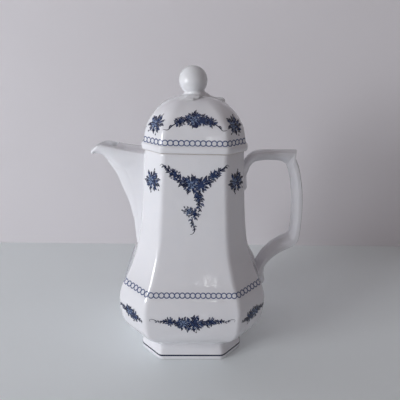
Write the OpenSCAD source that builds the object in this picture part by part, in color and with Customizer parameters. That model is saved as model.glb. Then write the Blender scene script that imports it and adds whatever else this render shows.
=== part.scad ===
// Tall porcelain pot for coffee or chocolate, with a lift-off lid.
// The plan is a square with its four corners cut off at 45 degrees.
// It stands on z = 0. The spout points toward -x, the handle toward +x,
// and the printed front face toward -y. All sizes are in millimetres.

/* [Body] */
// height of the rim that the lid rests on
rim_height = 183.8; // [160:0.2:210]
// half the width across the rim, flat face to flat face
rim_half = 38.6; // [32:0.2:46]
// half the width across the widest part of the belly
belly_half = 61.8; // [52:0.2:70]
// height of the widest part of the belly
belly_height = 58; // [50:1:68]
// half width of a broad face, as a share of the body's half width
face_share = 0.615; // [0.5:0.005:0.75]
// wall of the cast body
wall = 4.2; // [3:0.1:6]
// radius that softens the upright edges
edge_radius = 7; // [5.5:0.5:10]

/* [Foot] */
// half the width across the foot
foot_half = 45; // [38:0.2:50]
// height of the foot ring, up to its joint with the body
foot_height = 8.5; // [7:0.5:11]
// width of the foot ring's rim, across
foot_rim = 6; // [5:0.5:8]

/* [Spout] */
// how far the lip stands out from the neck
spout_reach = 47; // [40:0.5:54]
// how far the spout runs down from the rim
spout_drop = 100; // [85:1:110]
// half width of the spout where it leaves the neck
spout_root_half = 16; // [13:0.5:18]
// half width across the open mouth
mouth_half = 12.5; // [10:0.5:14]

/* [Handle] */
// how far the bar's outer face stands out from the neck
handle_reach = 57.9; // [50:0.1:66]
// how far the bar's lower root lies below the rim
handle_drop = 112; // [100:1:118]
// thickness of the upright part of the bar
bar_thick = 9.1; // [7.5:0.1:11]
// half the width of the handle's bar
bar_half = 6.2; // [5:0.1:8]
// share of that width left flat on the inner and outer faces
bar_flat = 0.42; // [0.3:0.02:0.6]

/* [Lid] */
// how far the lid's edge stands out past the rim
flange_out = 2.5; // [1.5:0.1:4]
// height of the straight lid edge
flange_height = 6; // [4:0.2:8]
// height of the dome above the rim, to the knob's seat
dome_rise = 38.6; // [34:0.2:46]
// wall of the dome
lid_wall = 4.2; // [3:0.1:5.5]
// depth of the collar that drops into the neck
collar_depth = 13; // [9:0.5:20]
// room left between the collar and the neck, each side
collar_gap = 0.9; // [0.5:0.1:1.6]
// wall of the collar
collar_wall = 3.2; // [2.5:0.1:4.5]

/* [Knob] */
// radius of the fruit on the lid
fruit_radius = 11.3; // [9:0.1:13]
// radius of the cup that the fruit sits in, at the lid
cup_radius = 9.8; // [8.5:0.1:10.5]
// height of that cup
cup_height = 4; // [3:0.2:6]
// how far the fruit leans toward the spout
fruit_lean = 1.6; // [0:0.2:2.4]
// how far the twig's cut end stands from the middle
twig_reach = 24; // [20:0.5:27]
// how far a knob leaf's tip stands from the middle
leaf_reach = 24.5; // [20:0.5:27]
// half the width of a knob leaf
leaf_half = 6.8; // [5:0.1:8]

/* [Hidden] */
glaze = [0.93, 0.94, 0.96];

lid_top = rim_height + dome_rise;
lid_half = rim_half + flange_out;
fruit_drop = sqrt(pow(fruit_radius, 2) - pow(cup_radius - 1.6, 2));
collar_half = rim_half - wall - collar_gap;

// ---- shared shapes ----

// a smooth line through points of any size, with n steps a span
function spline(p, n) = [for (i = [0:len(p) - 2], k = [0:n - 1])
    let (a = p[max(i - 1, 0)], b = p[i], c = p[i + 1], d = p[min(i + 2, len(p) - 1)], t = k / n)
    0.5 * (2 * b + (c - a) * t + (2 * a - 5 * b + 4 * c - d) * t * t
        + (3 * b - a - 3 * c + d) * t * t * t), p[len(p) - 1]];

// outline of the pot at half width m, drawn in by t, with edges of radius r
function outline(m, t, r) = let (h = m - t, w = m * face_share - t * tan(22.5),
        q = max(r - t, 1.5), e = w - q * tan(22.5))
    [for (turn = [0:90:270], side = [0, 1], k = [0:3])
        let (a = -90 + side * 45 + k * 15,
            x = (side == 0 ? e : h - q) + q * cos(a),
            y = (side == 0 ? q - h : -e) + q * sin(a))
        [x * cos(turn) - y * sin(turn), x * sin(turn) + y * cos(turn)]];

// skin over rings of points, closed flat at both ends
module skin(rings) {
    n = len(rings[0]);
    last = len(rings) - 1;
    polyhedron(
        points = [for (ring = rings, p = ring) p],
        faces = concat(
            [[for (j = [0:n - 1]) j]],
            [for (i = [0:last - 1], j = [0:n - 1]) [i * n + j, (i + 1) * n + j, (i + 1) * n + (j + 1) % n]],
            [for (i = [0:last - 1], j = [0:n - 1]) [i * n + j, (i + 1) * n + (j + 1) % n, i * n + (j + 1) % n]],
            [[for (j = [n - 1:-1:0]) last * n + j]]),
        convexity = 8);
}

// skin over outlines of the pot; each row of the profile is [height, half width]
module turned(profile, t = 0, r = edge_radius) {
    skin([for (s = profile) [for (p = outline(s[1], t, r)) [p[0], p[1], s[0]]]]);
}

// a bar between an outer and an inner line drawn in the xz plane;
// each row is [outer x, outer z, inner x, inner z, half width]
module bar(rows, flat) {
    skin([for (s = rows) let (o = [s[0], 0, s[1]], i = [s[2], 0, s[3]], b = [0, s[4], 0])
        [o - flat * b, o * 0.68 + i * 0.32 - b, o * 0.32 + i * 0.68 - b, i - flat * b,
            i + flat * b, o * 0.32 + i * 0.68 + b, o * 0.68 + i * 0.32 + b, o + flat * b]]);
}

// a leaf along a line of [reach, height, half width, rib height], ridged on top
module leaf(rows, depth) {
    skin([for (s = rows) [[s[0], 0, s[1] - depth], [s[0], s[2], s[1]],
        [s[0], s[2] * 0.45, s[1] + s[3] * 0.7], [s[0], 0, s[1] + s[3]],
        [s[0], -s[2] * 0.45, s[1] + s[3] * 0.7], [s[0], -s[2], s[1]]]]);
}

// ---- body ----

// upper body, from the belly's widest row up to the rim: [share up, share out]
upper = [[0, 1], [0.09, 0.9], [0.143, 0.75], [0.191, 0.62], [0.278, 0.45], [0.366, 0.32],
    [0.461, 0.225], [0.556, 0.168], [0.652, 0.122], [0.779, 0.072], [0.906, 0.026], [1, 0]];
// lower body, from the foot joint up to the belly: [share up, share out]
lower = [[0, 0], [0.071, -0.05], [0.152, -0.006], [0.232, 0.157], [0.313, 0.371],
    [0.414, 0.618], [0.556, 0.831], [0.758, 0.955], [1, 1]];
body_rows = spline(concat(
    [for (s = lower) [foot_height + s[0] * (belly_height - foot_height),
        foot_half - 1 + s[1] * (belly_half - foot_half + 1)]],
    [for (i = [1:len(upper) - 1]) [belly_height + upper[i][0] * (rim_height - belly_height),
        rim_half + upper[i][1] * (belly_half - rim_half)]]), 2);

// half width of the body at a height
function body_half(z) = lookup(z, body_rows);

module body_outside() { turned(body_rows); }

// the same between two heights and a row or so past them, for what is cut to lie on it
module body_band(low, high) {
    turned([for (s = body_rows) if (s[0] > low - 12 && s[0] < high + 12) s]);
}

// What the rows of the spout and the handle are drawn for: the height from the belly's widest row
// to the rim and how far that row stands out past the neck, then the reach and drop of the spout,
// and the reach, drop and thickness of the handle.
drawn_body = [125.8, 23.2];
drawn_spout = [47, 100];
drawn_handle = [57.9, 112, 9.1];

// how far the drawn body's face stands out from its neck, this far below the rim
function drawn_face(down) = drawn_body[1] / (belly_half - rim_half)
    * (body_half(rim_height - down * (rim_height - belly_height) / drawn_body[0]) - rim_half);

// where a drawn point lies: as far off the body's face as it was drawn, times k if it is outside
function spot(out, down, k, drop) = let (z = rim_height - down * drop, past = out - drawn_face(down))
    [body_half(z) + past * (past > 0 ? k : 1), z];

// the room inside: its floor stands one wall above the joint, and it runs out past the rim
module body_inside() {
    floor_z = foot_height + wall;
    rise = [for (s = body_rows) if (s[0] > floor_z + 4) s];
    turned(concat([[floor_z, body_half(floor_z) - 6], [floor_z + 2, body_half(floor_z + 2) - 1.5]],
        rise, [[rim_height + 1, rim_half]]), wall);
}

module pot_body() color(glaze) difference() {
    body_outside();
    body_inside();
    fan(channel_rows);
}

// ---- foot ----

foot_rows = [[0, foot_half - 1], [1, foot_half - 0.5], [3, foot_half - 0.1], [foot_height * 0.7, foot_half],
    [foot_height * 0.85, foot_half - 0.35], [foot_height, foot_half - 1]];

module foot_ring() color(glaze) difference() {
    turned(foot_rows);
    translate([0, 0, -1]) linear_extrude(foot_height + 2)
        polygon(outline(foot_half - 1, foot_rim, edge_radius));
}

// ---- spout ----

// rows of [nose x, nose z, root x, root z, nose half, ridge half, root half, ridge place],
// as distances out from the neck's face and up from the rim; the halves are shares
spout_rows = [
    [-9, -100, 3, -100, 0.05, 0.1, 0.12, 0.5],
    [-11.5, -90, 5, -88, 0.08, 0.2, 0.26, 0.55],
    [-13, -76, 5, -72, 0.13, 0.36, 0.48, 0.58],
    [-13.8, -64.3, 5, -59, 0.18, 0.48, 0.64, 0.6],
    [-16.6, -50.8, 5, -43, 0.22, 0.58, 0.78, 0.62],
    [-21.8, -36.3, 5, -24, 0.26, 0.66, 0.9, 0.64],
    [-24.6, -28.2, 5, -12, 0.28, 0.7, 0.97, 0.66],
    [-26.8, -23.4, 5, -4.8, 0.29, 0.74, 1, 0.7],
    [-29.3, -19.4, -6, -4, 0.3, 0.77, 1, 0.7],
    [-33.2, -14.1, -17.5, -2.6, 0.3, 0.8, 1, 0.68],
    [-36.6, -10.6, -26.6, -1, 0.3, 0.82, 1, 0.65],
    [-40.4, -8.8, -34, 0, 0.3, 0.82, 1, 0.6],
    [-43.2, -8.5, -38.8, -0.8, 0.3, 0.76, 0.9, 0.55],
    [-45.7, -9.5, -42.4, -2.6, 0.28, 0.6, 0.66, 0.5],
    [-47, -8.4, -45.2, -4.9, 0.2, 0.4, 0.42, 0.5]];

// the way through it: covered next to the neck, open on top at the mouth
channel_rows = [
    [-12.6, -55.8, wall + 1.4, -50.8, 0.12, 0.42, 0.5, 0.55],
    [-15.8, -43.8, wall + 1.4, -36.8, 0.15, 0.48, 0.62, 0.58],
    [-18.8, -35.3, wall + 1.4, -25.8, 0.17, 0.53, 0.7, 0.6],
    [-21.8, -27.3, wall + 1.4, -15.8, 0.19, 0.57, 0.76, 0.64],
    [-24.2, -22.3, -1.4, -7.3, 0.2, 0.6, 0.8, 0.68],
    [-26.8, -18, -13.4, -6, 0.21, 0.63, 0.8, 0.66],
    [-30, -13.9, -22.4, -5, 0.22, 0.65, 0.79, 0.6],
    [-32.9, -11.2, -27.9, 3.2, 0.23, 0.66, 0.76, 0.5],
    [-36.9, -7.9, -34.4, 4.2, 0.23, 0.64, 0.74, 0.5],
    [-40.4, -6.4, -40, 4.2, 0.22, 0.54, 0.6, 0.5],
    [-43.6, -6.2, -44.4, 4.2, 0.2, 0.4, 0.42, 0.5],
    [-48.4, -7.8, -50.4, 4.2, 0.17, 0.28, 0.3, 0.5]];

// half width of a row, before its share: the root's, easing to the mouth's
function spout_half(x) = lookup(-x, [[0, spout_root_half], [30, mouth_half], [60, mouth_half]]);

// a skin over rows that run from the nose, low and outside, to the root, high and inside
module fan(rows) {
    skin([for (s = spline(rows, 2))
        let (h = spout_half(s[2]), mid = [s[2] + (s[0] - s[2]) * s[7], s[3] + (s[1] - s[3]) * s[7]])
        [for (q = [[s[0], -s[4], s[1]], [mid[0], -s[5], mid[1]], [s[2], -s[6], s[3]],
            [s[2], s[6], s[3]], [mid[0], s[5], mid[1]], [s[0], s[4], s[1]]])
            let (p = spot(-q[0], -q[2], spout_reach / drawn_spout[0], spout_drop / drawn_spout[1]))
            [-p[0], q[1] * h, p[1]]]]);
}

module spout() color(glaze) difference() {
    fan(spout_rows);
    body_band(rim_height - spout_drop, rim_height);
    fan(channel_rows);
}

// ---- handle ----

// rows of [outer x, outer z, inner x, inner z, share of the half width],
// as distances from the neck's face and down from the rim
handle_rows = [
    [1, -17.4, 2, -31, 1.1], [4.4, -12.3, 6.4, -24.6, 1.08], [7.9, -8, 8.8, -17.8, 1.02],
    [11.9, -5.4, 12.5, -13.9, 1], [17.4, -4.2, 18, -12.6, 0.98], [25.4, -3.8, 25.4, -12.1, 0.95],
    [33.4, -3.8, 32.9, -12.5, 0.95], [41, -3.6, 36.9, -13.7, 0.95], [47.2, -3.4, 39.7, -15.9, 0.7],
    [46.9, -10.6, 41.5, -19, 0.95], [50.6, -18, 43, -23.4, 1], [53.2, -27.3, 44.6, -29, 1],
    [55.2, -36.3, 46, -36, 1], [56.6, -45.6, 47.4, -45.2, 1], [57.5, -56.8, 48.4, -56.3, 1],
    [57.9, -67.8, 48.9, -66.8, 1], [57.8, -76.8, 48.7, -74.3, 1], [57.4, -83.8, 48, -78.6, 1],
    [56, -89, 46, -81.1, 0.98], [51.9, -92.5, 41.9, -82.9, 0.96], [46.6, -95.6, 37.2, -85.8, 0.96],
    [41.2, -98.7, 32.2, -89.6, 0.98], [35.9, -103, 27.8, -94.4, 1], [31.5, -107.6, 24, -99.6, 1.02],
    [28.6, -112.6, 21.3, -105, 1.05], [26.4, -118, 18.5, -111, 1.08], [23, -124, 14, -117, 1.1]];

// the thumb spur is the one sharp row; the bar runs smooth on either side of it
spur_row = 8;

module handle_bar() {
    place_bar(concat(spline([for (i = [0:spur_row - 1]) handle_rows[i]], 2), [handle_rows[spur_row]],
        spline([for (i = [spur_row + 1:len(handle_rows) - 1]) handle_rows[i]], 2)), bar_flat);
}

handle_scale = handle_drop / drawn_handle[1];

// the bar's rows in place: its middle line follows the body, and it keeps its thickness
module place_bar(rows, flat) {
    bar([for (s = rows) let (m = [s[0] + s[2], s[1] + s[3]] / 2,
        half = [s[0] - s[2], s[1] - s[3]] / 2 * bar_thick / drawn_handle[2],
        p = spot(m[0], -m[1], handle_reach / drawn_handle[0], handle_scale))
        [p[0] + half[0], p[1] + half[1], p[0] - half[0], p[1] - half[1], s[4] * bar_half]], flat);
}

// an ornament's rows in place: each of its two lines keeps its distance from the body's face
module place_trim(rows, flat) {
    bar([for (s = rows) let (o = spot(s[0], -s[1], 1, handle_scale), i = spot(s[2], -s[3], 1, handle_scale))
        [o[0], o[1], i[0], i[1], s[4] * bar_half]], flat);
}

// the rows of one root only, for the ornaments that meet it
module handle_root(first, last) {
    place_bar(spline([for (i = [first:last]) handle_rows[i]], 2), bar_flat);
}

// the body behind the handle, between two drawn distances below the rim
module body_behind(top, bottom) {
    body_band(rim_height - bottom * handle_scale, rim_height - top * handle_scale);
}

module handle() color(glaze) difference() {
    handle_bar();
    body_behind(0, 124);
}

module handle_leaf_top() color(glaze) difference() {
    place_trim(spline([[5.2, -21, -2, -21, 0.3], [6, -25, -2, -25, 0.7], [6.6, -31, -1, -31, 0.95],
        [7.3, -35.5, -1, -35.5, 0.8], [6.6, -38.6, 0, -38.6, 0.5], [4.8, -40, 1, -40, 0.2]], 2), 0.3);
    body_behind(18, 40);
    handle_root(0, 5);
}

module handle_leaf_low() color(glaze) difference() {
    place_trim(spline([[11.6, -92.5, 5, -95, 0.16], [14, -96, 6, -99, 0.6], [16.4, -100, 7, -103.5, 0.95],
        [18.8, -105, 9, -109, 1.05], [21, -111, 12, -114, 0.9]], 2), 0.3);
    body_behind(92, 114);
    handle_root(19, 26);
}

module handle_curl() color(glaze) difference() {
    place_trim(spline([[28.2, -113, 20, -113, 0.9], [28, -119.2, 20, -119.2, 0.9],
        [28.9, -124.6, 21, -125, 0.75], [29.6, -128.4, 24.4, -129.6, 0.5], [28.8, -131.4, 26.6, -132, 0.25]],
        2), 0.4);
    body_behind(113, 132);
    handle_root(19, 26);
}

// ---- lid ----

// dome rows of [share of the rise, share of the lid's half width]
dome = [[0.17, 0.958], [0.2, 0.954], [0.3, 0.942], [0.46, 0.905], [0.6, 0.842], [0.73, 0.755],
    [0.83, 0.655], [0.905, 0.55], [0.96, 0.43], [1, 0.29]];
dome_rows = spline([for (s = dome) [rim_height + s[0] * dome_rise, s[1] * lid_half]], 2);
// the straight edge, softened above and below: [share of its height, drawn in]
edge_rows = [for (s = [[0, 1.2], [0.133, 0.3], [0.333, 0], [0.733, 0], [0.917, 0.5], [1, 1.4]])
    [rim_height + s[0] * flange_height, lid_half - s[1]]];

module lid_outside() {
    turned(concat(edge_rows, [for (s = dome_rows) if (s[0] > rim_height + flange_height + 0.2) s]));
}

// the top of the dome, for what is cut to lie on it
module lid_cap() { turned([for (s = dome_rows) if (s[0] > lid_top - 14) s]); }

module lid_dome() color(glaze) difference() {
    lid_outside();
    turned(concat([[rim_height - 1, collar_half - collar_wall + lid_wall],
        [rim_height + 2, collar_half - collar_wall + lid_wall]],
        [for (s = dome_rows) if (s[0] > rim_height + flange_height && s[0] < lid_top - lid_wall - 0.8) s],
        [[lid_top - lid_wall, lid_half * 0.3]]), lid_wall);
}

module lid_collar() color(glaze) difference() {
    turned([[rim_height - collar_depth, collar_half - 0.8], [rim_height - collar_depth + 1.2, collar_half],
        [rim_height, collar_half]], 0, edge_radius - wall);
    turned([[rim_height - collar_depth - 1, collar_half], [rim_height + 1, collar_half]],
        collar_wall, edge_radius - wall);
}

// ---- knob ----

module cup_shape() {
    translate([0, 0, lid_top]) rotate_extrude($fn = 48)
        polygon([[0, 0], [cup_radius, 0], [cup_radius - 0.7, cup_height * 0.3],
            [cup_radius - 1.3, cup_height * 0.625], [cup_radius - 1.6, cup_height], [0, cup_height]]);
}

module knob_cup() color(glaze) cup_shape();

module knob_fruit() color(glaze) difference() {
    translate([-fruit_lean, 0, lid_top + cup_height + fruit_drop]) sphere(r = fruit_radius, $fn = 64);
    translate([0, 0, lid_top + cup_height - 20]) cylinder(r = 20, h = 20, $fn = 32);
}

module twig_bar() {
    bar(spline([for (s = [[5, 3.6, 5, -6, 4.6], [9, 2.9, 9, -6, 4], [12, 0.9, 12, -6, 3.1],
        [15.5, -0.4, 15.5, -6.5, 2.5], [19, -0.6, 18.6, -7.5, 2.6], [22, -0.7, 21, -8.5, 3.1],
        [24, -2.4, 22.6, -9, 2.8]])
        [s[0] * twig_reach / 24, lid_top + s[1], s[2] * twig_reach / 24, lid_top + s[3], s[4]]], 2), 0.5);
}

module knob_twig() color(glaze) difference() {
    twig_bar();
    lid_cap();
    cup_shape();
}

module knob_leaf(turn) {
    difference() {
        rotate([0, 0, turn]) translate([0, 0, lid_top])
            leaf(spline([for (s = [[5, 0.8, 4, 1.4], [9, 1, 6, 1.6], [14, 0.5, 6.8, 1.7], [18.5, -1, 5.4, 1.6],
                [22, -2.9, 3, 1.3], [24.5, -4.8, 0.7, 0.9]])
                [s[0] * leaf_reach / 24.5, s[1], s[2] * leaf_half / 6.8, s[3]]], 2), 4);
        lid_cap();
        cup_shape();
        twig_bar();
    }
}

module knob_leaf_front() color(glaze) knob_leaf(-101);
module knob_leaf_back() color(glaze) knob_leaf(101);

pot_body();
foot_ring();
spout();
handle();
handle_leaf_top();
handle_leaf_low();
handle_curl();
lid_dome();
lid_collar();
knob_cup();
knob_fruit();
knob_twig();
knob_leaf_front();
knob_leaf_back();
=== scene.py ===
# %% [markdown]
# A tall porcelain pot for coffee or chocolate
#
# The pot is slip-cast porcelain with a clear glaze and a blue print. Its plan is a square whose
# four corners are cut off at 45 degrees. The imported model is loaded first: it gives the bodies
# that each piece rides on.

# %% Load the frame
import bpy, bmesh, math
import numpy as np
from mathutils import Matrix, Vector
from mathutils.bvhtree import BVHTree


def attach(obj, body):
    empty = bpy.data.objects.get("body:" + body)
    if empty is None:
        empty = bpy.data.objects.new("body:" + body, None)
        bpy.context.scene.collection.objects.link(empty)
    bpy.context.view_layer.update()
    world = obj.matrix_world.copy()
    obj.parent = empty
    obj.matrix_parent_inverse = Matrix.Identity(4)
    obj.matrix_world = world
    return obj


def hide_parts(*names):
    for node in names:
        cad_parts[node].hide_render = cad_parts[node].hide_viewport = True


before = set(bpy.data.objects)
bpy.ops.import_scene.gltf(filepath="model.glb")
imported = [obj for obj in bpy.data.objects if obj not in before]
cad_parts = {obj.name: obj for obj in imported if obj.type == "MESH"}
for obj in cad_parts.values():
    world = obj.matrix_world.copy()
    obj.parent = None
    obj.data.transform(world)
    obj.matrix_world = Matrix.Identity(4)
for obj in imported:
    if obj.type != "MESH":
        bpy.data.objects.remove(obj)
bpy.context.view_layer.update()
print("nodes:", sorted(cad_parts))

# %% [markdown]
# The pot's own measures
#
# They are the measures of the solid model, in millimetres. A slip-cast pot is one smooth skin, so
# its profile is a smooth line through a few heights and half widths, and every level has the same
# outline in plan. The solid model takes two steps between two heights. Here it takes six, so that
# the glaze shows no flat bands when light runs along it.

# %% Measures in millimetres
MM = 0.001
RIM, RIM_HALF, BELLY, BELLY_HALF = 183.8, 38.6, 58.0, 61.8
SHARE, WALL, EDGE = 0.615, 4.2, 7.0
FOOT, FOOT_HALF, FOOT_RIM = 8.5, 45.0, 6.0
SPOUT_HALF, MOUTH_HALF, BAR_HALF = 16.0, 12.5, 6.2
LID_HALF, LID_TOP, FLANGE = 41.1, 222.4, 6.0
COLLAR_HALF, COLLAR_WALL, COLLAR_DEPTH = 33.5, 3.2, 13.0
FRUIT, CUP, CUP_HIGH, LEAN = 11.3, 9.8, 4.0, 1.6
print("height to the rim", RIM, "widest", 2 * BELLY_HALF)


# %% A smooth line through points
def smooth(points, steps):
    "Catmull-Rom line through points of any size, with so many steps between two of them"
    p = [np.array(q, float) for q in points]
    line = []
    for i in range(len(p) - 1):
        a, b, c, d = p[max(i - 1, 0)], p[i], p[i + 1], p[min(i + 2, len(p) - 1)]
        for k in range(steps):
            t = k / steps
            line.append(0.5 * (2 * b + (c - a) * t + (2 * a - 5 * b + 4 * c - d) * t * t
                               + (3 * b - a - 3 * c + d) * t ** 3))
    return np.array(line + [p[-1]])


# %% The outline in plan
TURN_IN = math.tan(math.pi / 8)  # what an arc of radius 1 takes off each face at a 45 degree edge


def outline(half, inset=0.0, edge=EDGE, steps=6):
    "points round the pot at one level; the upright edges are softened with an arc"
    h, q = half - inset, max(edge - inset, 1.5)
    e = half * SHARE - inset * TURN_IN - q * TURN_IN
    arcs = []
    for quarter in range(4):
        c, s = math.cos(quarter * math.pi / 2), math.sin(quarter * math.pi / 2)
        for start, cx, cy in ((-90, e, q - h), (-45, h - q, -e)):
            angles = [math.radians(start + k * 45 / steps) for k in range(steps + 1)]
            arc = [(cx + q * math.cos(a), cy + q * math.sin(a)) for a in angles]
            arcs.append([(x * c - y * s, x * s + y * c) for x, y in arc])
    ring = []
    for arc, after in zip(arcs, arcs[1:] + arcs[:1]):
        ring += arc + [tuple(p + (n - p) / 2 for p, n in zip(arc[-1], after[0]))]
    return ring


def level(z, half, inset=0.0, edge=EDGE):
    "the outline at a height"
    return [(x, y, z) for x, y in outline(half, inset, edge)]


print("points in an outline:", len(outline(50)))


# %% A skin over rings of points
def face_outward(piece):
    "turns the faces to look outward and drops points that nothing uses"
    b = bmesh.new()
    b.from_mesh(piece.data)
    bmesh.ops.remove_doubles(b, verts=b.verts, dist=2e-6)
    bmesh.ops.recalc_face_normals(b, faces=b.faces)
    b.to_mesh(piece.data)
    b.free()


def put(name, points, faces):
    "a new piece from points in millimetres"
    mesh = bpy.data.meshes.new(name)
    mesh.from_pydata([tuple(c * MM for c in p) for p in points], [], faces)
    piece = bpy.data.objects.new(name, mesh)
    bpy.context.scene.collection.objects.link(piece)
    return piece


def skin(name, rings, loop=False, ends=True):
    "a piece over rings of points, closed at its ends, or closed on itself like a hoop"
    n, count = len(rings[0]), len(rings)
    faces = []
    for i in range(count if loop else count - 1):
        a, b = i * n, (i + 1) % count * n
        faces += [(a + j, a + (j + 1) % n, b + (j + 1) % n, b + j) for j in range(n)]
    if ends and not loop:
        faces += [tuple(range(n - 1, -1, -1)), tuple(range((count - 1) * n, count * n))]
    piece = put(name, [p for ring in rings for p in ring], faces)
    piece.data.validate()
    if ends or loop:
        face_outward(piece)
    return piece


# %% Shading and carving
def soften(piece, angle):
    "smooth shading, with edges sharper than the angle kept crisp"
    mesh = piece.data
    mesh.polygons.foreach_set("use_smooth", [True] * len(mesh.polygons))
    b = bmesh.new()
    b.from_mesh(mesh)
    for e in b.edges:
        e.smooth = not (len(e.link_faces) == 2 and e.calc_face_angle(0) > math.radians(angle))
    b.to_mesh(mesh)
    b.free()
    return piece


def carve(piece, *cutters):
    "takes the cutters' shapes out of the piece"
    for cutter in cutters:
        m = piece.modifiers.new("carve", "BOOLEAN")
        m.operation, m.solver, m.object = "DIFFERENCE", "EXACT", cutter
        bpy.context.view_layer.update()
        done = bpy.data.meshes.new_from_object(piece.evaluated_get(bpy.context.evaluated_depsgraph_get()))
        piece.modifiers.remove(m)
        old, piece.data = piece.data, done
        bpy.data.meshes.remove(old)
        piece.data.name = piece.name
    return piece


# %% Putting a piece on its body
made = []


def keep(piece, body_name, *nodes):
    "the piece rides on a body, stands for its solid and takes the porcelain's finish"
    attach(piece, body_name)
    if nodes:
        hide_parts(*nodes)
    made.append(piece)
    print(piece.name, "faces:", len(piece.data.polygons))


# %% [markdown]
# The body
#
# Slip is poured into a plaster mould, left until a wall of 4 mm has set, and poured out again. So
# the outside follows the mould, and the inside follows the outside one wall further in. The body
# could be modelled as a box with bevels and a subdivision surface, but then the flat faces would
# swell. Lofting one outline through a measured profile keeps the faces flat and the edges soft.

# %% The body's profile
# share of the height, share of the growth in width: from the foot to the belly, then up to the rim
LOWER = [(0, 0), (0.071, -0.05), (0.152, -0.006), (0.232, 0.157), (0.313, 0.371),
         (0.414, 0.618), (0.556, 0.831), (0.758, 0.955), (1, 1)]
UPPER = [(0.09, 0.9), (0.143, 0.75), (0.191, 0.62), (0.278, 0.45), (0.366, 0.32), (0.461, 0.225),
         (0.556, 0.168), (0.652, 0.122), (0.779, 0.072), (0.906, 0.026), (1, 0)]
above_foot = FOOT_HALF - 1
heights = [(FOOT + u * (BELLY - FOOT), above_foot + o * (BELLY_HALF - above_foot)) for u, o in LOWER]
heights += [(BELLY + u * (RIM - BELLY), RIM_HALF + o * (BELLY_HALF - RIM_HALF)) for u, o in UPPER]
FILM_ROOM = 0.22  # the print lies on the glaze, so the belly stays this far inside the solid
profile = smooth(heights, 6)
profile[:, 1] = np.minimum(profile[:, 1], BELLY_HALF - FILM_ROOM)
profile = profile[np.argsort(profile[:, 0], kind="stable")]


def body_half(z):
    "half width of the body at a height"
    return float(np.interp(z, profile[:, 0], profile[:, 1]))


print("rows:", len(profile), "neck half width at 150 mm:", round(body_half(150), 2))

# %% Rows of outlines at their heights
# rounding of the rim: down from it, in from its side
LIP = [(0.9, 0), (0.45, 0.08), (0.12, 0.35), (0, 0.8)]
# rounding of the floor: up from it, in from the wall
FLOOR, FLOOR_EDGE = FOOT + WALL, [(2, 1.5), (0.6, 3.6), (0, 7)]


def cast_rows():
    "up the outside, over the rim and down the inside to the floor"
    top = RIM - LIP[0][0]
    rows = [level(z, h) for z, h in profile if z < top]
    rows += [level(RIM - down, RIM_HALF - side) for down, side in LIP]
    rows += [level(RIM - down, RIM_HALF, WALL - side) for down, side in LIP[::-1]]
    rows += [level(z, h, WALL) for z, h in profile[::-1] if FLOOR + 4 < z < top]
    rows += [level(FLOOR + up, body_half(FLOOR + up) - side, WALL) for up, side in FLOOR_EDGE]
    return rows + [level(FLOOR, 14, WALL)]


# %% The body's skin, and a plain copy to cut other pieces with
body = skin("pot_body_cast", cast_rows())
body_block = skin("cutter_body", [level(z, h) for z, h in profile])
print("body faces:", len(body.data.polygons))

# %% [markdown]
# The spout
#
# The spout is a separate casting: a beak, broad and closed where it leaves the neck, open on top
# at the mouth. It is lofted through rows that run from its nose, low and outside, to its root,
# high and inside. The way through it is a second, smaller loft, carved out of the spout and of
# the wall behind it, as a potter cuts the hole before sticking the spout on.

# %% Corners rounded off
def round_off(ring, amount, steps=3):
    "a ring of few points with its corners rounded off, so that ridges catch a soft line of light"
    p = [np.array(q, float) for q in ring]
    out = []
    for i, b in enumerate(p):
        a, c = p[i - 1], p[(i + 1) % len(p)]
        s, e = b + (a - b) * amount, b + (c - b) * amount
        for k in range(steps + 1):
            t = k / steps
            out.append((1 - t) ** 2 * s + 2 * t * (1 - t) * b + t * t * e)
    return [tuple(q) for q in out]


# %% The spout's rows
# nose x, nose z, root x, root z, half widths of nose, ridge and root as shares, place of the ridge
SPOUT = [(-9, -100, 3, -100, 0.05, 0.1, 0.12, 0.5), (-11.5, -90, 5, -88, 0.08, 0.2, 0.26, 0.55),
         (-13, -76, 5, -72, 0.13, 0.36, 0.48, 0.58), (-13.8, -64.3, 5, -59, 0.18, 0.48, 0.64, 0.6),
         (-16.6, -50.8, 5, -43, 0.22, 0.58, 0.78, 0.62), (-21.8, -36.3, 5, -24, 0.26, 0.66, 0.9, 0.64),
         (-24.6, -28.2, 5, -12, 0.28, 0.7, 0.97, 0.66), (-26.8, -23.4, 5, -4.8, 0.29, 0.74, 1, 0.7),
         (-29.3, -19.4, -6, -4, 0.3, 0.77, 1, 0.7), (-33.2, -14.1, -17.5, -2.6, 0.3, 0.8, 1, 0.68),
         (-36.6, -10.6, -26.6, -1, 0.3, 0.82, 1, 0.65), (-40.4, -8.8, -34, 0, 0.3, 0.82, 1, 0.6),
         (-43.2, -8.5, -38.8, -0.8, 0.3, 0.76, 0.9, 0.55), (-45.7, -9.5, -42.4, -2.6, 0.28, 0.6, 0.66, 0.5),
         (-47, -8.4, -45.2, -4.9, 0.2, 0.4, 0.42, 0.5)]
IN = WALL + 1.4
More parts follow.
